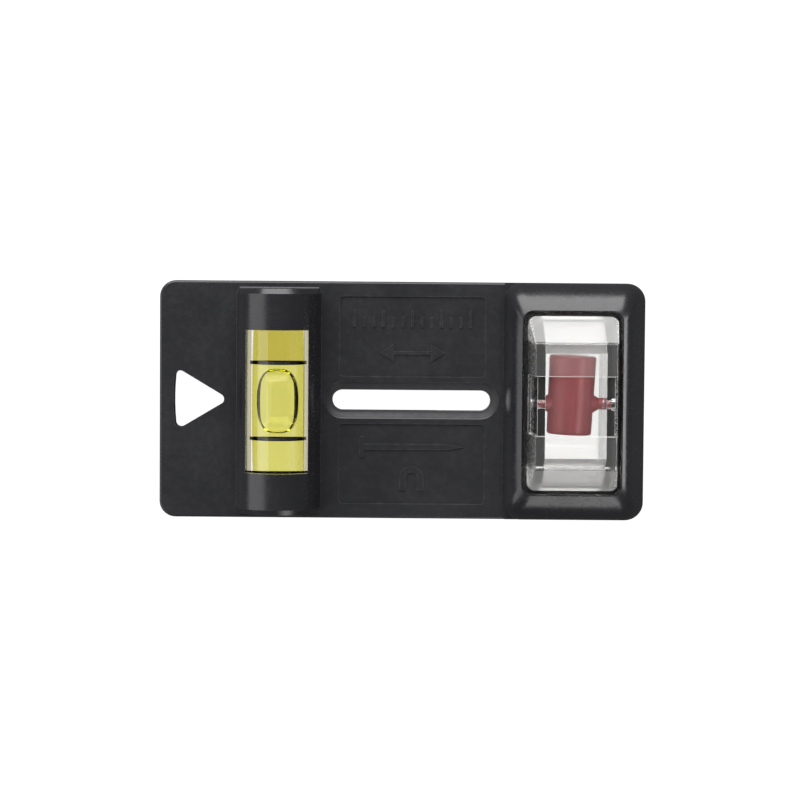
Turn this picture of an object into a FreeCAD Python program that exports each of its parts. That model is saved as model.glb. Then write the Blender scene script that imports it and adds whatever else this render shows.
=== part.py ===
import FreeCAD, Part

import math
import os

from FreeCAD import Vector

# A hand-held magnetic stud finder with a level vial, lying on its back.
# A shallow black housing carries a round hump over the vial and a raised bezel round a clear dome.
# Under the dome a red holder with a magnet swings on two moulded pins, and points at nails and screws
# behind the wall. Between the two stands a long marking slot, and a triangular hang hole is at the end.
#
# Millimetres. X runs along the tool towards the dome, Y across it, Z away from the wall.
# The origin is the centre of the flat back.

# ---------------------------------------------------------------- driving dimensions

# Housing
LENGTH = 108.0
WIDTH = 52.8
PLATE_TOP = 4.0          # height of the flat front face
SKIN = 1.8               # wall of the moulded housing
GAP = 0.1                # play between parts that are glued or clipped together
LEFT_CORNER = 3.6
RIGHT_CORNER = 4.0
EDGE_ROUND = 0.5

# Level vial and the hump over it
VIAL_X = -27.4           # the vial's axis lies along Y
VIAL_Z = 7.7
VIAL_RADIUS = 7.0
VIAL_HALF = 21.0
BORE_RADIUS = 4.05
BORE_END = 18.4
BARREL = 700.0           # radius of the bore's slight barrel curve
RING_Y = 8.35            # the index rings
RING_WIDTH = 0.7
RING_DEPTH = 0.2
CAP_HEAD = 0.8
BUBBLE = (3.3, 6.9, 1.8)  # half sizes across, along and up
BUBBLE_RISE = 1.75
BUBBLE_TRAVEL = 10.5
HUMP_RADIUS = 9.2
HUMP_HALF = 24.75
HUMP_END_RUN = 1.1       # the hump's ends slope in over this length
HUMP_END_DROP = 0.55
HUMP_BASE_ROUND = 0.4
HUMP_WALL = 1.6
VIAL_WINDOW_HALF = 15.7
VIAL_WINDOW_SIDE = 6.85

# Bezel and its window
DOME_X = 37.5
BEZEL_LEFT = 22.6        # foot of the bezel on the front face
BEZEL_TOP = 12.0
BEZEL_ROLL = 66          # degrees that the other three sides turn over, from upright at the foot
BEZEL_LEAN = 3.9         # how far the straight slope at the tool's end leans in
BEZEL_FLAT = 0.05        # level rim round the window
WINDOW_LENGTH = 40.8     # along Y
WINDOW_WIDTH = 22.2
WINDOW_BEVEL = 0.35
WINDOW_CORNER = 2.4

# Dome
DOME_RIM = 1.2           # from the window's outer edge to the dome
DOME_TOP = 24.6
DOME_TOP_HALF = 13.6     # half length of the flat top
DOME_TOP_SIDE = 8.95     # half width at the top
DOME_CEILING = 22.75
DOME_WALL = 3.1          # at the foot of the two sloping ends
DOME_CORNER = 1.9
DOME_ROUND = 0.5
BELT_HALF = 6.45         # the polished belt over the holder
BELT_DEPTH = 0.6
FLANGE = 1.5             # how far the dome's flange reaches under the bezel

# Bearing blocks and the chamber under the dome
BLOCK_IN = 6.65          # from the dome's middle
BLOCK_OUT = 8.6
BLOCK_HALF = 13.75
PANE_TOP = 1.3
PANE_UPSTAND = 1.0       # thickness of the pane's raised ends
PANE_LIP = 0.8

# Swinging magnet holder
PIVOT_Z = 10.4
PIN_RADIUS = 1.3
PIN_PLAY = 0.06
PIN_TIP = 8.6            # from the holder's middle
PIN_SLOT_END = 9.15      # from the dome's middle
HOLDER_X = DOME_X - 0.4  # it lies to the left within its end play
HOLDER_RADIUS = 5.0      # at the pins
HOLDER_DRAFT = 0.9       # degrees; the sleeve is slimmer at its closed end
HOLDER_SHORT = 6.8       # pivot to the closed end
HOLDER_LONG = 10.6       # pivot to the tail
HOLDER_LEAN = -2.6       # degrees in plan
HOLDER_FLOOR = 1.2
BOSS_RADIUS = 2.6        # the bosses' radius inside the barrel's wall
MAGNET_RADIUS = 3.75
MAGNET_LENGTH = 9.6
PLUG_LENGTH = 1.6

# Marking slot
SLOT_X = 2.1
SLOT_LENGTH = 35.3
SLOT_WIDTH = 4.6
SLOT_SCOOP = 1.8         # width of the hollow border round the slot
SLOT_DEPTH = 0.85
COLLAR = 1.4             # wall round the slot and the hang hole

# Hang hole
HANG_TIP_X = -38.5       # the triangle before its corners are rounded
HANG_BACK_X = -50.4
HANG_HALF = 7.1
HANG_BOW = 0.45
HANG_CORNER = 1.2

# Sign panels
PANEL_X = 2.25
PANEL_LENGTH = 32.4
PANEL_NEAR = 5.3         # distance from the centre line
PANEL_FAR = 23.1
PANEL_DEPTH = 0.35
RELIEF = 0.3             # height of the raised signs in the panels

# ---------------------------------------------------------------- worked-out dimensions

BACK_THICKNESS = PLATE_TOP - SKIN - 0.2
CAVITY_RADIUS = HUMP_RADIUS - HUMP_WALL
BEZEL_CEILING = BEZEL_TOP - SKIN
DOME_HALF = WINDOW_LENGTH / 2 - DOME_RIM
DOME_FOOT_HALF = WINDOW_WIDTH / 2 - DOME_RIM
BLOCK_TOP = PIVOT_Z - PIN_RADIUS - 0.1
PANE_END = DOME_HALF - 1.4

END = 1e-3


# ---------------------------------------------------------------- small tools

def line(a, b):
    return Part.LineSegment(Vector(*a), Vector(*b)).toShape()


def quarter(centre, radius, start_deg, z):
    """A quarter of a circle in a level plane, anticlockwise from start_deg."""
    points = []
    for share in (0, 0.5, 1):
        a = math.radians(start_deg + 90 * share)
        points.append(Vector(centre[0] + radius * math.cos(a), centre[1] + radius * math.sin(a), z))
    return Part.Arc(*points).toShape()


def round_rect(x0, x1, y0, y1, z, left, right):
    """A level rectangle with rounded corners, left and right being the corner radii at x0 and x1."""
    edges = [
        line((x0 + left, y0, z), (x1 - right, y0, z)),
        quarter((x1 - right, y0 + right), right, 270, z),
        line((x1, y0 + right, z), (x1, y1 - right, z)),
        quarter((x1 - right, y1 - right), right, 0, z),
        line((x1 - right, y1, z), (x0 + left, y1, z)),
        quarter((x0 + left, y1 - left), left, 90, z),
        line((x0, y1 - left, z), (x0, y0 + left, z)),
        quarter((x0 + left, y0 + left), left, 180, z),
    ]
    return Part.Wire(edges)


def prism(wire, height):
    return Part.Face(wire).extrude(Vector(0, 0, height))


def box(x0, x1, y0, y1, z0, z1):
    return Part.makeBox(x1 - x0, y1 - y0, z1 - z0, Vector(x0, y0, z0))


def polygon(points):
    return Part.makePolygon([Vector(*p) for p in points] + [Vector(*points[0])])


def rod_y(radius, y0, y1, x, z):
    """A round bar along Y."""
    return Part.makeCylinder(radius, y1 - y0, Vector(x, y0, z), Vector(0, 1, 0))


def rod_x(radius, x0, x1, y, z):
    """A round bar along X."""
    return Part.makeCylinder(radius, x1 - x0, Vector(x0, y, z), Vector(1, 0, 0))


def edges_where(shape, test):
    return [e for e in shape.Edges if test(e)]


def level_at(edge, z):
    return all(abs(v.Z - z) < END for v in edge.Vertexes)


def steep(edge):
    """True for a straight edge that stands upright."""
    a, b = edge.Vertexes[0].Point, edge.Vertexes[-1].Point
    return abs(a.x - b.x) < END and abs(a.y - b.y) < END


# ---------------------------------------------------------------- outlines shared by several parts

def plate_outline(z, inset=0.0):
    return round_rect(
        -LENGTH / 2 + inset, LENGTH / 2 - inset, -WIDTH / 2 + inset, WIDTH / 2 - inset, z,
        LEFT_CORNER - 0.6 * inset, RIGHT_CORNER - 0.6 * inset,
    )


def slot_outline(z, grow=0.0):
    """A long hole with round ends."""
    half = SLOT_WIDTH / 2 + grow
    straight = (SLOT_LENGTH - SLOT_WIDTH) / 2
    left, right = SLOT_X - straight, SLOT_X + straight
    return Part.Wire([
        line((left, -half, z), (right, -half, z)),
        Part.Arc(Vector(right, -half, z), Vector(right + half, 0, z), Vector(right, half, z)).toShape(),
        line((right, half, z), (left, half, z)),
        Part.Arc(Vector(left, half, z), Vector(left - half, 0, z), Vector(left, -half, z)).toShape(),
    ])


def hang_outline(z, grow=0.0):
    """A triangle with rounded corners that points at the vial; its back side is slightly bowed."""
    back = Part.Arc(
        Vector(HANG_BACK_X, HANG_HALF, z),
        Vector(HANG_BACK_X - HANG_BOW, 0, z),
        Vector(HANG_BACK_X, -HANG_HALF, z),
    ).toShape()
    sharp = Part.Wire([
        back,
        line((HANG_BACK_X, -HANG_HALF, z), (HANG_TIP_X, 0, z)),
        line((HANG_TIP_X, 0, z), (HANG_BACK_X, HANG_HALF, z)),
    ])
    block = prism(sharp, 1)
    block = block.makeFillet(HANG_CORNER, edges_where(block, steep))
    rounded = [f for f in block.Faces if abs(f.CenterOfMass.z - z) < END][0].OuterWire
    return rounded.makeOffset2D(grow) if grow else rounded


# ---------------------------------------------------------------- housing

def hump_section(radius, y, z0):
    """A half round over two upright walls, in a plane across the vial."""
    left, right = VIAL_X - radius, VIAL_X + radius
    roof = Part.Arc(Vector(left, y, VIAL_Z), Vector(VIAL_X, y, VIAL_Z + radius), Vector(right, y, VIAL_Z))
    return Part.Wire([
        line((left, y, z0), (left, y, VIAL_Z)),
        roof.toShape(),
        line((right, y, VIAL_Z), (right, y, z0)),
        line((right, y, z0), (left, y, z0)),
    ])


def hump_block(radius, half, z0):
    """A round-topped block along Y over the vial."""
    return Part.Face(hump_section(radius, -half, z0)).extrude(Vector(0, 2 * half, 0))


def hump_outer():
    """The hump's outside, whose two ends slope in a little."""
    slim = HUMP_RADIUS - HUMP_END_DROP
    shoulder = HUMP_HALF - HUMP_END_RUN
    stations = [(slim, -HUMP_HALF), (HUMP_RADIUS, -shoulder), (HUMP_RADIUS, shoulder), (slim, HUMP_HALF)]
    return Part.makeLoft([hump_section(radius, y, 0.5) for radius, y in stations], True, True)


def hump_foot(edge):
    """True for the edges where the hump stands on the plate."""
    middle = edge.CenterOfMass
    near = abs(middle.x - VIAL_X) < HUMP_RADIUS + END and abs(middle.y) < HUMP_HALF + END
    return level_at(edge, PLATE_TOP) and abs(middle.z - PLATE_TOP) < END and near


def bezel_inset(turn, reach):
    """How far a side that rolls over has come in where it has turned by so many degrees."""
    return reach * (1 - math.cos(math.radians(turn))) / (1 - math.cos(math.radians(BEZEL_ROLL)))


def bezel_end_inset(share, reach):
    """The same for the tool's end, which leans in straight and turns sharply near the top."""
    return BEZEL_LEAN * share + (reach - BEZEL_LEAN) * (1 - (1 - share ** 4) ** 0.25)


def bezel_outer():
    """The raised frame round the dome: steep sides that roll over towards the window."""
    right = LENGTH / 2
    side = WIDTH / 2
    base = prism(round_rect(BEZEL_LEFT, right, -side, side, 0, 0.6, RIGHT_CORNER), PLATE_TOP)
    rim_x = WINDOW_WIDTH / 2 + BEZEL_FLAT
    rim_y = WINDOW_LENGTH / 2 + BEZEL_FLAT
    steps = 6
    sections = []
    for step in range(steps + 1):
        turn = BEZEL_ROLL * step / steps
        share = math.sin(math.radians(turn)) / math.sin(math.radians(BEZEL_ROLL))
        x0 = BEZEL_LEFT + bezel_inset(turn, DOME_X - rim_x - BEZEL_LEFT)
        x1 = right - bezel_end_inset(share, right - DOME_X - rim_x)
        y1 = side - bezel_inset(turn, side - rim_y)
        corner = RIGHT_CORNER + (WINDOW_CORNER - RIGHT_CORNER) * share
        z = PLATE_TOP + (BEZEL_TOP - PLATE_TOP) * share
        sections.append(round_rect(x0, x1, -y1, y1, z, corner, corner))
    return base.fuse(Part.makeLoft(sections, True, False))


def bezel_cavity():
    """The room inside the bezel. Its walls follow the outside at the housing's thickness."""
    right = LENGTH / 2 - SKIN
    low = round_rect(BEZEL_LEFT + SKIN, right, -WIDTH / 2 + SKIN, WIDTH / 2 - SKIN, 2, 2.0, 2.0)
    side = DOME_FOOT_HALF + FLANGE + 0.3
    end = DOME_HALF + FLANGE + 0.3
    high = round_rect(DOME_X - side, DOME_X + side, -end, end, BEZEL_CEILING, 2.4, 2.4)
    return Part.makeLoft([low, high], True, True)


def window_outline(z, grow=0.0):
    x_half = WINDOW_WIDTH / 2 + grow
    y_half = WINDOW_LENGTH / 2 + grow
    corner = WINDOW_CORNER + grow
    return round_rect(DOME_X - x_half, DOME_X + x_half, -y_half, y_half, z, corner, corner)


def dome_opening():
    """The bezel's window: straight walls round the dome, and a small bevel at the top."""
    low = BEZEL_TOP - WINDOW_BEVEL
    straight = prism(window_outline(8, -WINDOW_BEVEL), low - 8)
    bevel = Part.makeLoft([window_outline(low, -WINDOW_BEVEL), window_outline(BEZEL_TOP)], True, True)
    return straight.fuse([bevel, prism(window_outline(BEZEL_TOP), 2)])


def slot_opening():
    """The marking slot, with a hollow border that deepens towards it."""
    scoop = []
    for share in (0, 0.25, 0.5, 0.75, 1):
        depth = SLOT_DEPTH * (1 - share * share)
        scoop.append(slot_outline(PLATE_TOP - depth, SLOT_SCOOP * share))
    return prism(slot_outline(-1), PLATE_TOP + 1).fuse(Part.makeLoft(scoop, True, True))


def panel_recesses():
    recesses = []
    for low, high in ((PANEL_NEAR, PANEL_FAR), (-PANEL_FAR, -PANEL_NEAR)):
        outline = round_rect(
            PANEL_X - PANEL_LENGTH / 2, PANEL_X + PANEL_LENGTH / 2, low, high,
            PLATE_TOP - PANEL_DEPTH, 1.0, 1.0,
        )
        recesses.append(prism(outline, 1))
    return recesses


def raised(points):
    floor = PLATE_TOP - PANEL_DEPTH
    return prism(polygon([(x, y, floor - 0.2) for x, y in points]), RELIEF + 0.2)


def bar(x, y, width, height):
    return raised([
        (x - width / 2, y - height / 2), (x + width / 2, y - height / 2),
        (x + width / 2, y + height / 2), (x - width / 2, y + height / 2),
    ])


def arrow_head(tip_x, y, reach, half):
    """A filled triangle; a positive reach points it at +X."""
    points = [(tip_x, y), (tip_x - reach, y + half), (tip_x - reach, y - half)]
    return raised(points if reach > 0 else points[::-1])


def panel_signs():
    """Plain raised signs: a row of graduations and a sweep arrow above, a nail and a magnet below."""
    signs = []
    upper, lower = 18.2, 10.6
    for step in range(-6, 7):
        tall = 3.8 if step % 3 == 0 else 2.3
        signs.append(bar(PANEL_X + 2.15 * step, upper - 1.9 + tall / 2, 0.55, tall))
    signs.append(bar(PANEL_X, lower, 9.4, 0.7))
    for side in (-1, 1):
        signs.append(arrow_head(PANEL_X + side * 7.2, lower, side * 3.0, 1.9))

    nail = -10.4
    signs.append(bar(PANEL_X - 11.2, nail, 0.9, 4.6))
    signs.append(bar(PANEL_X - 1.4, nail, 19.0, 1.3))
    signs.append(arrow_head(PANEL_X + 11.6, nail, 3.8, 0.65))

    foot = -20.0
    outer = Part.makeCylinder(2.7, RELIEF + 0.2, Vector(PANEL_X, foot + 2.6, PLATE_TOP - PANEL_DEPTH - 0.2))
    inner = Part.makeCylinder(1.3, 2, Vector(PANEL_X, foot + 2.6, PLATE_TOP - 1))
    below = box(PANEL_X - 4, PANEL_X + 4, foot - 4, foot + 2.6, 0, 6)
    signs.append(outer.cut([inner, below]))
    for side in (-1, 1):
        signs.append(bar(PANEL_X + side * 2.0, foot + 1.3, 1.4, 2.7))
    return signs


def vial_hold_downs():
    """Half rings under the hump's closed ends that keep the vial down in its cradles."""
    ribs = []
    for y in (-20.0, 18.6):
        ring = rod_y(CAVITY_RADIUS + 0.4, y, y + 1.4, VIAL_X, VIAL_Z)
        ring = ring.cut(rod_y(VIAL_RADIUS + 0.05, y - 1, y + 3, VIAL_X, VIAL_Z))
        upper = box(VIAL_X - 10, VIAL_X + 10, y, y + 1.4, VIAL_Z + 1.5, VIAL_Z + 12)
        ribs.append(ring.common(upper))
    return ribs


def top_housing():
    plate = prism(plate_outline(0), PLATE_TOP)
    plate = plate.makeFillet(EDGE_ROUND, edges_where(plate, lambda e: level_at(e, PLATE_TOP)))
    body = plate.fuse(hump_outer()).removeSplitter()
    body = body.makeFillet(HUMP_BASE_ROUND, edges_where(body, hump_foot))
    body = body.fuse(bezel_outer()).removeSplitter()

    recess = prism(plate_outline(-1, SKIN), 1 + BACK_THICKNESS)
    rings = (slot_outline(0, COLLAR), hang_outline(0, COLLAR))
    collars = [prism(ring, PLATE_TOP - 0.5) for ring in rings]
    hollow = [recess, hump_block(CAVITY_RADIUS, HUMP_HALF - HUMP_WALL, 0), bezel_cavity()]
    body = body.cut(hollow).fuse(collars + vial_hold_downs())

    vial_window = box(
        VIAL_X - VIAL_WINDOW_SIDE, VIAL_X + VIAL_WINDOW_SIDE,
        -VIAL_WINDOW_HALF, VIAL_WINDOW_HALF, VIAL_Z, VIAL_Z + HUMP_RADIUS + 1,
    )
    holes = [slot_opening(), prism(hang_outline(-1), PLATE_TOP + 2), dome_opening(), vial_window]
    body = body.cut(holes + panel_recesses())
    return body.fuse(panel_signs()).removeSplitter()


# ---------------------------------------------------------------- back plate and rear window


def chamber_outline(z, shrink=0.0):
    """The see-through opening under the dome: a wide space at both ends, narrower between the blocks."""
    a, b = BLOCK_IN - shrink, BLOCK_OUT - shrink
    c, d = BLOCK_HALF + shrink, PANE_END - shrink
    right = [(a, -c), (a, c), (b, c), (b, d)]
    left = [(-b, d), (-b, c), (-a, c), (-a, -c), (-b, -c), (-b, -d)]
    points = [(b, -d), (b, -c)] + right + left
    return polygon([(DOME_X + x, y, z) for x, y in points])


def vial_cradle(y0, y1):
    """A saddle that carries one end of the vial."""
    half = CAVITY_RADIUS - 0.15
    block = box(VIAL_X - half, VIAL_X + half, y0, y1, BACK_THICKNESS, VIAL_Z - 1.0)
    return block.cut(rod_y(VIAL_RADIUS + 0.05, y0 - 1, y1 + 1, VIAL_X, VIAL_Z))


def back_plate():
    plate = prism(plate_outline(0, SKIN + GAP), BACK_THICKNESS)
    light_hole = round_rect(
        VIAL_X - 6.3, VIAL_X + 6.3, -VIAL_WINDOW_HALF, VIAL_WINDOW_HALF, -1, 1.5, 1.5)
    plate = plate.cut([
        prism(slot_outline(-1, COLLAR + GAP), 6),
        prism(hang_outline(-1, COLLAR + GAP), 6),
        prism(light_hole, 6),
        prism(chamber_outline(-1), 6),
    ])
    cradles = [vial_cradle(16.4, 20.6), vial_cradle(-20.6, -16.4)]
    blocks = []
    for side in (-1, 1):
        near, far = sorted((DOME_X + side * BLOCK_IN, DOME_X + side * BLOCK_OUT))
        blocks.append(box(near, far, -BLOCK_HALF, BLOCK_HALF, BACK_THICKNESS - 0.5, BLOCK_TOP))
    plate = plate.fuse(cradles + blocks)
    trough_half = VIAL_HALF + CAP_HEAD + 0.3
    trough = rod_y(VIAL_RADIUS + 0.05, -trough_half, trough_half, VIAL_X, VIAL_Z)
    return plate.cut(trough).removeSplitter()


def rear_window():
    """The clear pane that closes the magnet's chamber on the wall side. Both ends are raised and lipped."""
    body = prism(chamber_outline(0.2, GAP), BACK_THICKNESS - 0.2)
    half = PANE_END - PANE_UPSTAND
    pane = body.cut(box(DOME_X - 20, DOME_X + 20, -half, half, PANE_TOP, BACK_THICKNESS + 1))
    lips = []
    for side in (-1, 1):
        low, high = sorted((side * half, side * (PANE_END + 1.2)))
        lips.append(box(DOME_X - BLOCK_OUT + 1, DOME_X + BLOCK_OUT - 1, low, high,
                        BACK_THICKNESS, BACK_THICKNESS + PANE_LIP))
    return pane.fuse(lips).removeSplitter()


# ---------------------------------------------------------------- dome


def round_top(block):
    """Rounds the long edges at the top of a ridge-shaped block."""
    top = block.BoundBox.ZMax
    return block.makeFillet(DOME_ROUND, edges_where(block, lambda e: level_at(e, top) and e.Length > 30))


def dome_lean():
    """How far the dome's sloping ends lean in for each millimetre of height."""
    return (DOME_HALF - DOME_TOP_HALF) / (DOME_TOP - BEZEL_TOP)


def dome_envelope(inset=0.0):
    """The dome's outside: a flat top, two sloping ends, slightly leaning sides and round upright corners."""
    ends = polygon([
        (0, -DOME_HALF, BLOCK_TOP), (0, DOME_HALF, BLOCK_TOP), (0, DOME_HALF, BEZEL_TOP),
        (0, DOME_TOP_HALF, DOME_TOP - inset), (0, -DOME_TOP_HALF, DOME_TOP - inset),
        (0, -DOME_HALF, BEZEL_TOP),
    ])
    width = DOME_FOOT_HALF - inset
    top = DOME_TOP_SIDE - inset
    sides = polygon([
        (-width, 0, BLOCK_TOP), (width, 0, BLOCK_TOP), (width, 0, BEZEL_TOP),
        (top, 0, DOME_TOP), (-top, 0, DOME_TOP), (-width, 0, BEZEL_TOP),
    ])
    long_solid = Part.Face(ends).extrude(Vector(40, 0, 0))
    long_solid.translate(Vector(DOME_X - 20, 0, 0))
    wide_solid = Part.Face(sides).extrude(Vector(0, 60, 0))
    wide_solid.translate(Vector(DOME_X, -30, 0))
    plan = round_rect(DOME_X - DOME_FOOT_HALF, DOME_X + DOME_FOOT_HALF, -DOME_HALF, DOME_HALF,
                      BLOCK_TOP, DOME_CORNER, DOME_CORNER)
    return round_top(long_solid).common(round_top(wide_solid)).common(prism(plan, 20))


def dome_room():
    """The chamber inside the dome, where the holder swings."""
    foot = DOME_HALF - DOME_WALL
    top = foot - dome_lean() * (DOME_CEILING - BEZEL_TOP)
    left = DOME_X - BLOCK_IN
    profile = polygon([
        (left, -foot, BLOCK_TOP - 1), (left, foot, BLOCK_TOP - 1), (left, foot, BEZEL_TOP - 1),
        (left, top, DOME_CEILING), (left, -top, DOME_CEILING), (left, -foot, BEZEL_TOP - 1),
    ])
    return Part.Face(profile).extrude(Vector(2 * BLOCK_IN, 0, 0))


def pin_slots():
    """Slots in the side walls, open below, that the holder's pins drop into."""
    width = PIN_RADIUS + PIN_PLAY
    left, right = DOME_X - PIN_SLOT_END, DOME_X + PIN_SLOT_END
    tunnel = rod_x(width, left, right, 0, PIVOT_Z)
    mouth = box(left, right, -width, width, BLOCK_TOP - 1, PIVOT_Z)
    return tunnel.fuse(mouth)


def dome_lens():
    shell = dome_envelope()
    belt_box = box(DOME_X - 20, DOME_X + 20, -BELT_HALF, BELT_HALF, BEZEL_TOP + 1.0, DOME_TOP + 5)
    belt = belt_box.cut(dome_envelope(BELT_DEPTH))
    shell = shell.cut(belt)
    side, end = DOME_FOOT_HALF + FLANGE, DOME_HALF + FLANGE
    outline = round_rect(DOME_X - side, DOME_X + side, -end, end, BLOCK_TOP, 2.4, 2.4)
    flange = prism(outline, BEZEL_CEILING - BLOCK_TOP)
    return shell.fuse(flange).cut([dome_room(), pin_slots()]).removeSplitter()


# ---------------------------------------------------------------- swinging magnet holder


def askew(shape):
    """Turns a part of the barrel with the small angle at which it sits on its pins."""
    turned = shape.copy()
    turned.rotate(Vector(HOLDER_X, 0, PIVOT_Z), Vector(0, 0, 1), HOLDER_LEAN)
    return turned


def rims(shape):
    """The round edges at the two ends of a bar."""
    return edges_where(shape, lambda e: len(e.Vertexes) == 1)


def sleeve_blank():
    """The holder's slightly tapered barrel."""
    slope = math.tan(math.radians(HOLDER_DRAFT))
    slim = HOLDER_RADIUS - slope * HOLDER_SHORT
    wide = HOLDER_RADIUS + slope * HOLDER_LONG
    start = Vector(HOLDER_X, -HOLDER_SHORT, PIVOT_Z)
    sleeve = Part.makeCone(slim, wide, HOLDER_SHORT + HOLDER_LONG, start, Vector(0, 1, 0))
    return sleeve.makeFillet(0.6, rims(sleeve))


def magnet_holder():
    """A red sleeve with a closed end for the magnet, and a tapered boss and pin on each side."""
    root, shoulder = HOLDER_RADIUS - 1.0, BLOCK_IN - 0.55
    side_parts = []
    for side in (-1, 1):
        start = Vector(HOLDER_X + side * root, 0, PIVOT_Z)
        out = Vector(side, 0, 0)
        side_parts.append(Part.makeCone(BOSS_RADIUS, PIN_RADIUS, shoulder - root, start, out))
        side_parts.append(Part.makeCylinder(PIN_RADIUS, PIN_TIP - root, start, out))
    bore = rod_y(MAGNET_RADIUS, -HOLDER_SHORT + HOLDER_FLOOR, HOLDER_LONG + 1, HOLDER_X, PIVOT_Z)
    return askew(sleeve_blank()).fuse(side_parts).cut(askew(bore)).removeSplitter()


def magnet():
    start = -HOLDER_SHORT + HOLDER_FLOOR
    bar_magnet = rod_y(MAGNET_RADIUS - 0.05, start, start + MAGNET_LENGTH, HOLDER_X, PIVOT_Z)
    return askew(bar_magnet.makeFillet(0.3, rims(bar_magnet)))


def holder_plug():
    """The disc that closes the sleeve's open tail, with a shallow dimple."""
    end = HOLDER_LONG - 0.3
    disc = rod_y(MAGNET_RADIUS, end - PLUG_LENGTH, end, HOLDER_X, PIVOT_Z)
    dimple = Part.makeSphere(4.5, Vector(HOLDER_X, end + 4.1, PIVOT_Z))
    return askew(disc.cut(dimple))


# ---------------------------------------------------------------- level vial


def bore_radius_at(y):
    return BORE_RADIUS - y * y / (2 * BARREL)


def bore_shape(grow, y0, y1):
    """A barrel-shaped round bar along Y, grown by grow."""
    start = Vector(0, y0, 0)
    middle = (y0 + y1) / 2
    edges = [
        line((0, y0, 0), (bore_radius_at(y0) + grow, y0, 0)),
        Part.Arc(
            Vector(bore_radius_at(y0) + grow, y0, 0),
            Vector(bore_radius_at(middle) + grow, middle, 0),
            Vector(bore_radius_at(y1) + grow, y1, 0),
        ).toShape(),
        line((bore_radius_at(y1) + grow, y1, 0), (0, y1, 0)),
        line((0, y1, 0), (0, y0, 0)),
    ]
    face = Part.Face(Part.Wire(edges))
    solid = face.revolve(start, Vector(0, 1, 0), 360)
    solid.translate(Vector(VIAL_X, 0, VIAL_Z))
    return solid


def index_ring(y):
    ring = bore_shape(RING_DEPTH, y - RING_WIDTH / 2, y + RING_WIDTH / 2)
    return ring.cut(bore_shape(0, y - 2, y + 2))


def vial_tube():
    tube = rod_y(VIAL_RADIUS, -VIAL_HALF, VIAL_HALF, VIAL_X, VIAL_Z)
    tube = tube.makeFillet(0.5, rims(tube))
    bore = bore_shape(0, -BORE_END, BORE_END)
    mouth = rod_y(bore_radius_at(BORE_END), BORE_END - END, VIAL_HALF + 1, VIAL_X, VIAL_Z)
    grooves = [bore_shape(RING_DEPTH, y - RING_WIDTH / 2, y + RING_WIDTH / 2) for y in (-RING_Y, RING_Y)]
    return tube.cut([bore, mouth] + grooves)


def vial_index_rings():
    """Two black rings let into the bore, level with its wall."""
    return Part.Compound([index_ring(y) for y in (-RING_Y, RING_Y)])


def vial_cap():
    plug = rod_y(bore_radius_at(BORE_END) - 0.02, BORE_END, VIAL_HALF, VIAL_X, VIAL_Z)
    head = rod_y(VIAL_RADIUS - 0.8, VIAL_HALF, VIAL_HALF + CAP_HEAD, VIAL_X, VIAL_Z)
    return plug.fuse(head).removeSplitter()


def vial_bubble():
    ball = Part.makeSphere(1.0)
    stretch = FreeCAD.Matrix()
    stretch.scale(*BUBBLE)
    bubble = ball.transformGeometry(stretch)
    bubble.translate(Vector(VIAL_X, 0, VIAL_Z + BUBBLE_RISE))
    return bubble


def vial_liquid():
    """The spirit in the bore, with the lane that the bubble runs in left free."""
    play = 0.12
    filling = bore_shape(-0.01, -BORE_END + 0.01, BORE_END - 0.01)
    lane_half = BUBBLE[1] + BUBBLE_TRAVEL + play
    oval = Part.Ellipse(Vector(0, 0, 0), BUBBLE[0] + play, BUBBLE[2] + play).toShape()
    lane = Part.Face(Part.Wire([oval])).extrude(Vector(0, 0, 2 * lane_half))
    lane.rotate(Vector(0, 0, 0), Vector(1, 0, 0), 90)
    lane.translate(Vector(VIAL_X, lane_half, VIAL_Z + BUBBLE_RISE))
    sky = box(VIAL_X - 1.6, VIAL_X + 1.6, -lane_half, lane_half, VIAL_Z + BUBBLE_RISE, VIAL_Z + 6)
    return filling.cut([lane, sky])


# ---------------------------------------------------------------- output

PARTS = {
    "top_housing": top_housing,
    "back_plate": back_plate,
    "rear_window": rear_window,
    "dome_lens": dome_lens,
    "magnet_holder": magnet_holder,
    "magnet": magnet,
    "holder_plug": holder_plug,
    "vial_tube": vial_tube,
    "vial_cap": vial_cap,
    "vial_index_rings": vial_index_rings,
    "vial_liquid": vial_liquid,
    "vial_bubble": vial_bubble,
}


def main():
    os.makedirs("parts", exist_ok=True)
    for name, build in PARTS.items():
        shape = build()
        shape.exportStep("parts/%s.step" % name)
        size = shape.BoundBox
        print("%-18s %2d solid(s) valid=%s volume=%8.1f  x %.2f..%.2f  y %.2f..%.2f  z %.2f..%.2f" % (
            name, len(shape.Solids), shape.isValid(), shape.Volume,
            size.XMin, size.XMax, size.YMin, size.YMax, size.ZMin, size.ZMax))


if __name__ == "__main__":
    main()
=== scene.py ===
import math

import bmesh
import bpy
from mathutils import Matrix, Vector


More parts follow.
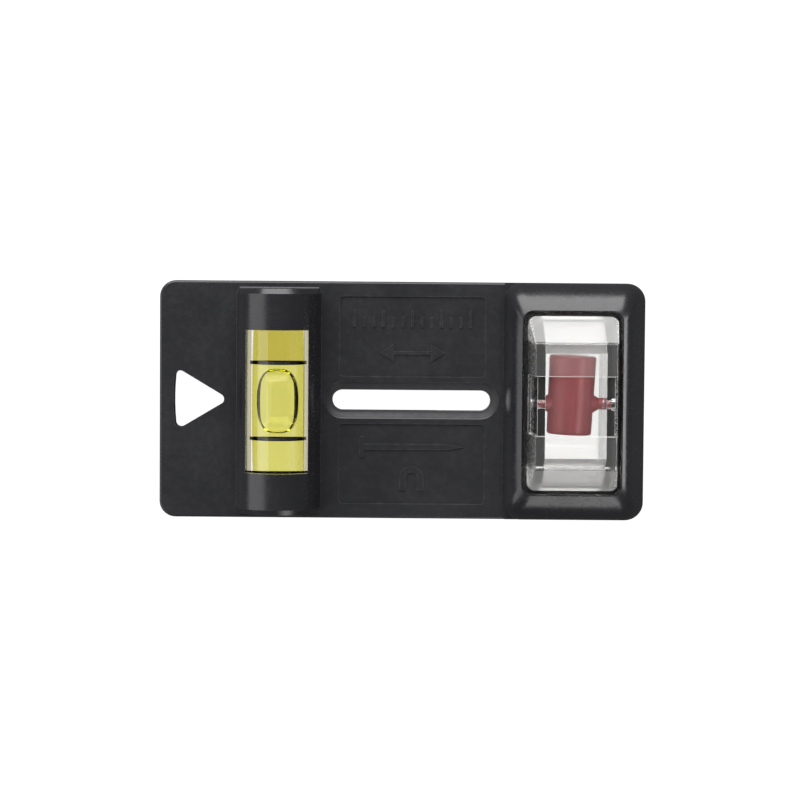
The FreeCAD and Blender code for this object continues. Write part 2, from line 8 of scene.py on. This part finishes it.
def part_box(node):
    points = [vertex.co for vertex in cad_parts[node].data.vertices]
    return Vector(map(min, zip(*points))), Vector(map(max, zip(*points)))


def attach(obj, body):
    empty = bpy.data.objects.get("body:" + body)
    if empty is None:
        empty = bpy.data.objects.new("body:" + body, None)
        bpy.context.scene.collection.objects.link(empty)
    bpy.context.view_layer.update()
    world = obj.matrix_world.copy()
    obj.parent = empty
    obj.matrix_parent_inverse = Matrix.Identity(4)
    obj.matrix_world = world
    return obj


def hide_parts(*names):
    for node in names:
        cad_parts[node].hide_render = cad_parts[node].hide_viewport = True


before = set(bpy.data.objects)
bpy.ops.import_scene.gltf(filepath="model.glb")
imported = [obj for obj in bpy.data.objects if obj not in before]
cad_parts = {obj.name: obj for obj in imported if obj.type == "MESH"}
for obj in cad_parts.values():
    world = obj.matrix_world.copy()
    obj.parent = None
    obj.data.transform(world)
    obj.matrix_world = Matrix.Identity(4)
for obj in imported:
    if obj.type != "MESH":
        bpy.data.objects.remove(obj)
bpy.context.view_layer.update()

MM = 0.001


# ---------------------------------------------------------------- places read from the frame

TUBE_LOW, TUBE_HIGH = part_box("vial_tube")
LIQUID_LOW, LIQUID_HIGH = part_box("vial_liquid")
BUBBLE_LOW, BUBBLE_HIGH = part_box("vial_bubble")
RING_LOW, RING_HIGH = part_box("vial_index_rings")
DOME_LOW, DOME_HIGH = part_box("dome_lens")
HOUSING_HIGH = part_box("top_housing")[1]

VIAL_AXIS = (TUBE_LOW + TUBE_HIGH) / 2
DOME_MIDDLE = (DOME_LOW + DOME_HIGH) / 2
BELT_HALF = 6.45 * MM          # half the polished belt over the magnet, along Y
DOME_FACET = 13.6 * MM         # where the dome's sloping ends start, along Y
DOME_FLANK = 8.8 * MM          # where the dome's rough side faces start, from its middle along X
PLATE_TOP = 4 * MM
SLOT_BORDER = 4.3 * MM         # half the sunk border round the marking slot, along Y
BEZEL_TOP = 12 * MM
LIT_FLOOR_X = 8 * MM           # the floor under the housing is lit from here to the right end
RING_Y = 8.35 * MM             # the far index ring
TUBE_CORNER = 0.5 * MM         # rounding of the vial's two ends
SPIRIT_CORNER = 0.4 * MM       # rounding of the spirit's two ends
BUBBLE_FILM = 0.18 * MM        # spirit between the bubble and the bore's wall at rest
BARREL_RADIUS = 0.7            # lengthwise curve of the bore
BORE_RADIUS = (RING_HIGH.x - RING_LOW.x) / 2 - 0.2 * MM
BORE_HALF = (LIQUID_HIGH.y - LIQUID_LOW.y) / 2


# ---------------------------------------------------------------- node helpers

class Shade:
    """A new material with a Principled shader, and short calls that add nodes to it."""

    def __init__(self, name, **values):
        self.material = bpy.data.materials.new(name)
        self.material.use_nodes = True
        self.tree = self.material.node_tree
        self.shader = self.tree.nodes["Principled BSDF"]
        self.place = self.add("ShaderNodeTexCoord").outputs["Object"]
        for key, value in values.items():
            self.shader.inputs[key.replace("_", " ")].default_value = value

    def add(self, kind, **settings):
        node = self.tree.nodes.new(kind)
        for key, value in settings.items():
            setattr(node, key, value)
        return node

    def link(self, source, target):
        self.tree.links.new(source, target)

    def feed(self, name, source):
        self.link(source, self.shader.inputs[name])

    def noise(self, size, detail=3.0, rough=0.5, stretch=(1, 1, 1)):
        """Noise with a feature size in metres, from 0 to 1."""
        mapping = self.add("ShaderNodeMapping")
        mapping.inputs["Scale"].default_value = [s / size for s in stretch]
        self.link(self.place, mapping.inputs["Vector"])
        noise = self.add("ShaderNodeTexNoise")
        noise.inputs["Scale"].default_value = 1.0
        noise.inputs["Detail"].default_value = detail
        noise.inputs["Roughness"].default_value = rough
        self.link(mapping.outputs["Vector"], noise.inputs["Vector"])
        return noise.outputs["Fac"]

    def band(self, source, low, high, to_low=0.0, to_high=1.0):
        """A smooth step of source from low..high to to_low..to_high."""
        node = self.add("ShaderNodeMapRange", interpolation_type="SMOOTHSTEP")
        self.link(source, node.inputs["Value"])
        for key, value in (("From Min", low), ("From Max", high), ("To Min", to_low), ("To Max", to_high)):
            node.inputs[key].default_value = value
        return node.outputs["Result"]

    def math(self, operation, a, b=None):
        node = self.add("ShaderNodeMath", operation=operation)
        for socket, value in zip(node.inputs, (a, b)):
            if value is None:
                continue
            if isinstance(value, (int, float)):
                socket.default_value = value
            else:
                self.link(value, socket)
        return node.outputs["Value"]

    def mix(self, factor, first, second):
        node = self.add("ShaderNodeMix", data_type="RGBA")
        self.link(factor, node.inputs["Factor"])
        for socket, value in ((node.inputs["A"], first), (node.inputs["B"], second)):
            if isinstance(value, (tuple, list)):
                socket.default_value = (*value, 1.0)
            else:
                self.link(value, socket)
        return node.outputs["Result"]

    def axis(self, name):
        split = self.add("ShaderNodeSeparateXYZ")
        self.link(self.place, split.inputs["Vector"])
        return split.outputs[name]

    def edges(self, radius):
        """Close to 1 on edges that are sharper than radius, and 0 on flat faces."""
        bevel = self.add("ShaderNodeBevel", samples=6)
        bevel.inputs["Radius"].default_value = radius
        plain = self.add("ShaderNodeNewGeometry").outputs["Normal"]
        dot = self.add("ShaderNodeVectorMath", operation="DOT_PRODUCT")
        self.link(bevel.outputs["Normal"], dot.inputs[0])
        self.link(plain, dot.inputs[1])
        return self.band(dot.outputs["Value"], 0.995, 0.9)

    def bump(self, *layers):
        """Stacks (height, depth in metres, strength) layers into the shader's normal."""
        normal = None
        for height, depth, strength in layers:
            node = self.add("ShaderNodeBump")
            node.inputs["Distance"].default_value = depth
            node.inputs["Strength"].default_value = strength
            self.link(height, node.inputs["Height"])
            if normal is not None:
                self.link(normal, node.inputs["Normal"])
            normal = node.outputs["Normal"]
        self.feed("Normal", normal)


# ---------------------------------------------------------------- materials

ACRYLIC = 1.49           # refractive indices
SPIRIT = 1.45


def black_plastic(name, smooth, matt):
    """Charcoal moulded plastic: cloudy gloss, matt low parts, and paler worn edges."""
    m = Shade(name, Specular_IOR_Level=0.5)
    grain = m.noise(0.22 * MM, detail=2.0)
    cloud = m.noise(9 * MM, detail=4.0)
    scuff = m.noise(1.4 * MM, detail=5.0, rough=0.65)
    worn = m.edges(0.35 * MM)
    base = m.mix(cloud, (0.0115, 0.0118, 0.0140), (0.0160, 0.0160, 0.0185))
    rubbed = m.math("MULTIPLY", worn, m.band(scuff, 0.35, 0.7, 0.25, 0.8))
    base = m.mix(rubbed, base, (0.05, 0.049, 0.05))
    m.feed("Base Color", base)
    height = m.axis("Z")
    low = m.band(height, PLATE_TOP + 1 * MM, PLATE_TOP + 0.2 * MM, 0.0, matt)
    near_slot = m.band(m.math("ABSOLUTE", m.axis("Y")), SLOT_BORDER + 0.3 * MM, SLOT_BORDER)
    deep = m.band(height, PLATE_TOP - 0.05 * MM, PLATE_TOP - 0.2 * MM, 0.0, 3 * matt)
    sunk = m.math("MULTIPLY", near_slot, deep)
    gloss = m.band(cloud, 0.3, 0.7, smooth, smooth + 0.06)
    rough = m.math("ADD", gloss, m.band(scuff, 0.4, 0.65, -0.02, 0.04))
    m.feed("Roughness", m.math("ADD", rough, m.math("ADD", low, sunk)))
    m.bump((scuff, 0.02 * MM, 0.25), (grain, 0.02 * MM, 0.35))
    return m.material


def clear_plastic():
    """Clear polystyrene: a polished belt over the magnet, light frost beside it, milky ends, and milky edges
    that paint thin highlight lines.
    """
    m = Shade("clear_plastic", IOR=1.49)
    m.shader.inputs["Base Color"].default_value = (0.97, 0.965, 0.95, 1)
    across = m.math("ABSOLUTE", m.axis("Y"))
    aside = m.math("ABSOLUTE", m.math("SUBTRACT", m.axis("X"), DOME_MIDDLE.x))
    cloud = m.noise(3 * MM, detail=3.0)
    grit = m.noise(0.7 * MM, detail=4.0)
    frost = m.band(across, BELT_HALF, BELT_HALF + 0.1 * MM)
    milky = m.band(across, DOME_FACET, DOME_FACET + 0.4 * MM)
    proud = m.band(m.axis("Z"), BEZEL_TOP - 0.5 * MM, BEZEL_TOP + 0.5 * MM)
    flank = m.math("MULTIPLY", proud, m.band(aside, DOME_FLANK, DOME_FLANK + 0.3 * MM))
    frosted = m.math("MULTIPLY", frost, m.band(cloud, 0.3, 0.7, 0.08, 0.12))
    veil = m.math("ADD", frosted, m.math("MULTIPLY", milky, 0.14))
    gritty = m.math("MULTIPLY", flank, m.band(grit, 0.35, 0.65, 0.1, 0.4))
    m.feed("Roughness", m.math("MAXIMUM", veil, gritty))
    milk_and_edge_highlight = m.math("ADD", m.math("MULTIPLY", frost, 0.03), m.math("MULTIPLY", milky, 0.26))
    # The edges are made milky as a painted highlight: thin light lines along the belt's edges and the facets'
    # corners.
    milk_and_edge_highlight = m.math("ADD", m.math("ADD", milk_and_edge_highlight, 0.02), m.math("MULTIPLY", m.edges(0.25 * MM), 0.5))
    milk_and_edge_highlight = m.math("MULTIPLY", milk_and_edge_highlight, proud)
    m.feed("Transmission Weight", m.math("SUBTRACT", 1.0, milk_and_edge_highlight))
    m.bump((m.math("MULTIPLY", grit, flank), 0.06 * MM, 0.5))
    return m.material


def window_plastic():
    """The clear tray behind the magnet, lightly scratched from sliding over walls."""
    m = Shade("window_plastic", IOR=1.49, Transmission_Weight=1.0)
    m.shader.inputs["Base Color"].default_value = (0.98, 0.98, 0.97, 1)
    lines = m.noise(0.4 * MM, detail=2.0, stretch=(1, 0.04, 1))
    m.feed("Roughness", m.band(lines, 0.5, 0.75, 0.02, 0.12))
    m.bump((lines, 0.01 * MM, 0.1))
    return m.material


def red_plastic():
    """Dark crimson satin plastic with slightly darker flow marks."""
    m = Shade("red_plastic", Specular_IOR_Level=0.5)
    flow = m.noise(5 * MM, detail=3.0, stretch=(1, 0.35, 1))
    speck = m.noise(0.5 * MM, detail=4.0)
    base = m.mix(flow, (0.25, 0.015, 0.022), (0.33, 0.026, 0.035))
    base = m.mix(m.math("MULTIPLY", m.edges(0.4 * MM), 0.35), base, (0.42, 0.09, 0.10))
    m.feed("Base Color", base)
    m.feed("Roughness", m.band(speck, 0.3, 0.7, 0.30, 0.44))
    m.bump((speck, 0.02 * MM, 0.2))
    return m.material


def magnet_plate():
    """Bright nickel plating with a fine turned grain."""
    m = Shade("nickel_plate", Metallic=1.0)
    turned = m.noise(0.25 * MM, detail=3.0, stretch=(1, 6, 1))
    m.feed("Base Color", m.mix(turned, (0.55, 0.54, 0.52), (0.68, 0.67, 0.65)))
    m.feed("Roughness", m.band(turned, 0.3, 0.7, 0.2, 0.36))
    m.bump((turned, 0.01 * MM, 0.2))
    return m.material


def vial_acrylic():
    """Polished acrylic: clear over the bore, with painted shade as a fine dark line where the bore ends and
    painted refracted light as a cream tone on the thick sides.
    """
    m = Shade("vial_acrylic", IOR=ACRYLIC, Transmission_Weight=1.0)
    wave = m.noise(4 * MM, detail=2.0, stretch=(1, 0.3, 1))
    aside = m.math("ABSOLUTE", m.math("SUBTRACT", m.axis("X"), VIAL_AXIS.x))
    side = SPIRIT * BORE_RADIUS
    # Painted refracted light and shade: the thick sides get a dim cream tone, and the bore's edge gets a dark
    # line.
    cream = m.mix(wave, (0.36, 0.32, 0.15), (0.50, 0.46, 0.24))
    line = m.mix(m.band(aside, side + 0.05 * MM, side + 0.16 * MM), (0.16, 0.14, 0.05), cream)
    m.feed("Base Color", m.mix(m.band(aside, side - 0.1 * MM, side), (0.99, 0.985, 0.95), line))
    m.feed("Roughness", m.band(wave, 0.3, 0.8, 0.0, 0.03))
    m.bump((wave, 0.02 * MM, 0.06))
    return m.material


def ring_paint():
    m = Shade("ring_paint")
    wear = m.noise(0.6 * MM, detail=4.0)
    m.feed("Base Color", m.mix(wear, (0.006, 0.006, 0.005), (0.02, 0.02, 0.014)))
    m.feed("Roughness", m.band(wear, 0.3, 0.7, 0.3, 0.5))
    return m.material


def vial_liquid():
    """Spirit with a yellow-green dye inside acrylic: the colour deepens with its depth, and past the far ring
    it is darker with painted shade from the hump's closed end.
    """
    m = Shade("vial_liquid", IOR=SPIRIT / ACRYLIC, Transmission_Weight=1.0)
    streaks = m.noise(1.6 * MM, detail=2.0, stretch=(1, 0.08, 1))
    pale = m.mix(streaks, (0.72, 0.69, 0.55), (0.76, 0.73, 0.59))
    # deep: painted shade, the darker tint past the far ring where the hump's closed end keeps light out.
    deep = m.mix(streaks, (0.50, 0.43, 0.20), (0.62, 0.55, 0.28))
    dye_and_painted_shade = m.mix(m.band(m.axis("Y"), RING_Y - 0.3 * MM, RING_Y + 0.4 * MM), pale, deep)
    aside = m.math("ABSOLUTE", m.math("SUBTRACT", m.axis("X"), VIAL_AXIS.x))
    side = m.band(aside, 0.72 * BORE_RADIUS, 0.95 * BORE_RADIUS)
    m.feed("Base Color", m.mix(side, dye_and_painted_shade, (0.60, 0.55, 0.10)))
    m.shader.inputs["Roughness"].default_value = 0.0
    dye = m.add("ShaderNodeVolumeAbsorption")
    dye.inputs["Color"].default_value = (0.972, 0.968, 0.006, 1)
    dye.inputs["Density"].default_value = 156.0
    m.link(dye.outputs["Volume"], m.tree.nodes["Material Output"].inputs["Volume"])
    return m.material


def vial_air():
    """The bubble's surface, seen from inside the spirit."""
    m = Shade("vial_air", IOR=1 / SPIRIT, Transmission_Weight=1.0)
    shimmer = m.noise(1.2 * MM, detail=1.0, stretch=(1, 0.1, 1))
    m.feed("Base Color", m.mix(shimmer, (0.99, 0.985, 0.93), (1.0, 1.0, 0.97)))
    m.shader.inputs["Roughness"].default_value = 0.0
    return m.material


# ---------------------------------------------------------------- mesh helpers

def piece(name, mesh, material, body="housing", replaces=()):
    mesh.materials.append(material)
    obj = bpy.data.objects.new(name, mesh)
    bpy.context.scene.collection.objects.link(obj)
    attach(obj, body)
    if replaces:
        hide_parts(*replaces)
    return obj


def turned(name, outline, axis_point, steps=96):
    """A solid turned about a line along Y. The outline is (radius, y) points from axis to axis."""
    bm = bmesh.new()
    rings = []
    for radius, y in outline:
        if radius < 1e-9:
            rings.append([bm.verts.new((axis_point.x, y, axis_point.z))])
            continue
        ring = []
        for k in range(steps):
            a = 2 * math.pi * k / steps
            x = axis_point.x + radius * math.sin(a)
            z = axis_point.z + radius * math.cos(a)
            ring.append(bm.verts.new((x, y, z)))
        rings.append(ring)
    for low, high in zip(rings, rings[1:]):
        for k in range(steps):
            n = (k + 1) % steps
            if len(low) == 1:
                bm.faces.new((low[0], high[n], high[k]))
            elif len(high) == 1:
                bm.faces.new((low[k], low[n], high[0]))
            else:
                bm.faces.new((low[k], low[n], high[n], high[k]))
    bmesh.ops.recalc_face_normals(bm, faces=bm.faces)
    mesh = bpy.data.meshes.new(name)
    bm.to_mesh(mesh)
    bm.free()
    for polygon in mesh.polygons:
        polygon.use_smooth = True
    return mesh


# ---------------------------------------------------------------- pieces made here

def bore_radius(y):
    return BORE_RADIUS - y * y / (2 * BARREL_RADIUS)


def end_round(radius, face_y, corner, steps=6):
    """Points of a rounded rim, from the end face at face_y to the side wall."""
    inward = -math.copysign(1, face_y)
    points = []
    for k in range(steps + 1):
        a = math.pi / 2 * k / steps
        points.append((radius - corner + corner * math.sin(a), face_y + inward * corner * (1 - math.cos(a))))
    return points


def make_tube():
    """The vial's clear body. The spirit's surface is the bore's wall, so only the mouth is hollow."""
    radius = (TUBE_HIGH.x - TUBE_LOW.x) / 2
    half = (TUBE_HIGH.y - TUBE_LOW.y) / 2
    mouth = BORE_HALF - 0.02 * MM
    neck = bore_radius(BORE_HALF)
    outline = [(0.0, -half)] + end_round(radius, -half, TUBE_CORNER)
    outline += end_round(radius, half, TUBE_CORNER)[::-1]
    outline += [(neck, half), (neck, mouth + 0.6 * MM), (0.0, mouth + 0.6 * MM)]
    mesh = turned("vial_body", outline, VIAL_AXIS)
    return piece("vial_body", mesh, vial_acrylic(), replaces=["vial_tube"])


def make_liquid():
    """The spirit fills the barrel-shaped bore and is rounded at both ends."""
    end = bore_radius(BORE_HALF)
    outline = [(0.0, -BORE_HALF)] + end_round(end, -BORE_HALF, SPIRIT_CORNER)
    spans = 40
    for k in range(1, spans):
        y = (BORE_HALF - SPIRIT_CORNER) * (2 * k / spans - 1)
        outline.append((bore_radius(y), y))
    outline += end_round(end, BORE_HALF, SPIRIT_CORNER)[::-1] + [(0.0, BORE_HALF)]
    mesh = turned("vial_spirit", outline, VIAL_AXIS)
    return piece("vial_spirit", mesh, vial_liquid(), replaces=["vial_liquid"])


def make_bubble():
    """A long bubble pressed against the top of the bore, with blunt rounded ends and a flatter top."""
    centre = (BUBBLE_LOW + BUBBLE_HIGH) / 2
    size = (BUBBLE_HIGH - BUBBLE_LOW) / 2
    size.x *= 1.06
    size.y *= 1.03
    power = 2.7
    top = VIAL_AXIS.z + bore_radius(0) - BUBBLE_FILM
    low = BUBBLE_LOW.z - 0.8 * MM
    centre.z = (top + low) / 2
    size.z = (top - low) / 2
    bm = bmesh.new()
    bmesh.ops.create_uvsphere(bm, u_segments=128, v_segments=96, radius=1.0)
    for v in bm.verts:
        x, z, y = v.co
        length = (abs(x) ** power + abs(y) ** power + abs(z) ** power) ** (1 / power)
        point = centre + Vector((size.x * x, size.y * y, size.z * z)) / length
        away = Vector((point.x - VIAL_AXIS.x, 0, point.z - VIAL_AXIS.z))
        most = bore_radius(point.y) - BUBBLE_FILM
        if away.length > most:
            point -= away * (1 - most / away.length)
        v.co = point
    bmesh.ops.recalc_face_normals(bm, faces=bm.faces)
    mesh = bpy.data.meshes.new("level_bubble_air")
    bm.to_mesh(mesh)
    bm.free()
    for polygon in mesh.polygons:
        polygon.use_smooth = True
    return piece("level_bubble_air", mesh, vial_air(), "level_bubble", ["vial_bubble"])


# ---------------------------------------------------------------- stage

def make_stage():
    """A light table. It is lit for the camera and through clear parts, and elsewhere only on the
    right half of the floor under the housing."""
    size = 1.6
    drop = 0.2 * MM
    mesh = bpy.data.meshes.new("floor")
    corners = [(-size, -size, -drop), (size, -size, -drop), (size, size, -drop), (-size, size, -drop)]
    mesh.from_pydata(corners, [], [(0, 1, 2, 3)])
    m = Shade("light_table", Roughness=0.9)
    tone = m.noise(0.3)
    m.feed("Base Color", m.mix(tone, (0.045, 0.045, 0.045), (0.055, 0.055, 0.055)))
    m.shader.inputs["Emission Color"].default_value = (1, 1, 1, 1)
    path = m.add("ShaderNodeLightPath")
    through = m.math("GREATER_THAN", path.outputs["Transmission Depth"], 0.5)
    seen = m.math("MAXIMUM", path.outputs["Is Camera Ray"], through)
    right = m.math("GREATER_THAN", m.axis("X"), LIT_FLOOR_X)
    within = m.math("LESS_THAN", m.axis("X"), HOUSING_HIGH.x - 1 * MM)
    middle = m.math("LESS_THAN", m.math("ABSOLUTE", m.axis("Y")), HOUSING_HIGH.y - 1 * MM)
    under = m.math("MULTIPLY", m.math("MULTIPLY", right, within), middle)
    m.feed("Emission Strength", m.band(m.math("MAXIMUM", seen, under), 0.0, 1.0, 0.02, 1.0))
    mesh.materials.append(m.material)
    floor = bpy.data.objects.new("floor", mesh)
    bpy.context.scene.collection.objects.link(floor)


def softbox(name, target, azimuth, elevation, distance, size, radiance, spread=180):
    """A softbox aimed at a point, which the camera doesn't see. Angles in degrees."""
    turn, rise = math.radians(azimuth), math.radians(elevation)
    away = Vector((math.cos(rise) * math.cos(turn), math.cos(rise) * math.sin(turn), math.sin(rise)))
    light = bpy.data.lights.new(name, "AREA")
    light.shape = "RECTANGLE"
    light.size, light.size_y = size
    light.spread = math.radians(spread)
    light.energy = radiance * math.pi * size[0] * size[1]
    obj = bpy.data.objects.new(name, light)
    obj.location = target + distance * away
    obj.rotation_euler = away.to_track_quat("Z", "Y").to_euler()
    obj.visible_camera = False
    bpy.context.scene.collection.objects.link(obj)


def make_lights():
    """A dim room with softboxes on the far side, the near side and the left, and a card at the right."""
    world = bpy.data.worlds.new("studio")
    bpy.context.scene.world = world
    world.use_nodes = True
    world.node_tree.nodes["Background"].inputs["Color"].default_value = (1, 1, 1, 1)
    world.node_tree.nodes["Background"].inputs["Strength"].default_value = 0.15
    middle = Vector((0, 0, 0))
    bezel = Vector((DOME_MIDDLE.x, 0, BEZEL_TOP))
    softbox("far_softbox", middle, 96, 35, 0.70, (0.84, 0.76), 5.6)
    softbox("near_softbox", bezel, -82, 32, 0.30, (0.10, 0.24), 3.4)
    softbox("left_softbox", middle, -164, 30, 0.60, (0.60, 0.55), 1.9)
    softbox("right_card", bezel + Vector((11.5 * MM, 0, 0)), 0, 50, 0.04, (0.05, 0.022), 0.8, spread=60)


def make_camera():
    """The camera stands over the tool, a little towards its far long side, and is turned slightly."""
    distance = 0.56
    lean = math.radians(3.0)
    roll = math.radians(0.45)
    field = 800 * 0.2229 * MM
    look_at = Vector((-0.42 * MM, 0.1 * MM, 4.0 * MM))
    camera = bpy.data.cameras.new("camera")
    camera.sensor_width = 36.0
    camera.lens = 36.0 * distance / field
    obj = bpy.data.objects.new("camera", camera)
    away = Vector((0, math.sin(lean), math.cos(lean)))
    obj.location = look_at + away * distance
    right = Vector((1, 0, 0))
    up = away.cross(right)
    basis = Matrix((right, up, away)).transposed().to_4x4()
    obj.matrix_world = Matrix.Translation(obj.location) @ basis @ Matrix.Rotation(roll, 4, "Z")
    bpy.context.scene.collection.objects.link(obj)
    bpy.context.scene.camera = obj
    bpy.context.scene.view_settings.view_transform = "Standard"


# ---------------------------------------------------------------- finishes on the CAD parts

def finish_part(node, material):
    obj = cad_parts[node]
    for slot in obj.material_slots:
        slot.material = material
    if not obj.material_slots:
        obj.data.materials.append(material)


def main():
    red = red_plastic()
    finish_part("top_housing", black_plastic("housing_black", 0.23, 0.08))
    finish_part("back_plate", black_plastic("back_black", 0.08, 0.0))
    finish_part("dome_lens", clear_plastic())
    finish_part("rear_window", window_plastic())
    finish_part("magnet_holder", red)
    finish_part("holder_plug", red)
    finish_part("magnet", magnet_plate())
    finish_part("vial_cap", vial_acrylic())
    finish_part("vial_index_rings", ring_paint())
    make_tube()
    make_liquid()
    make_bubble()
    make_stage()
    make_lights()
    make_camera()


main()
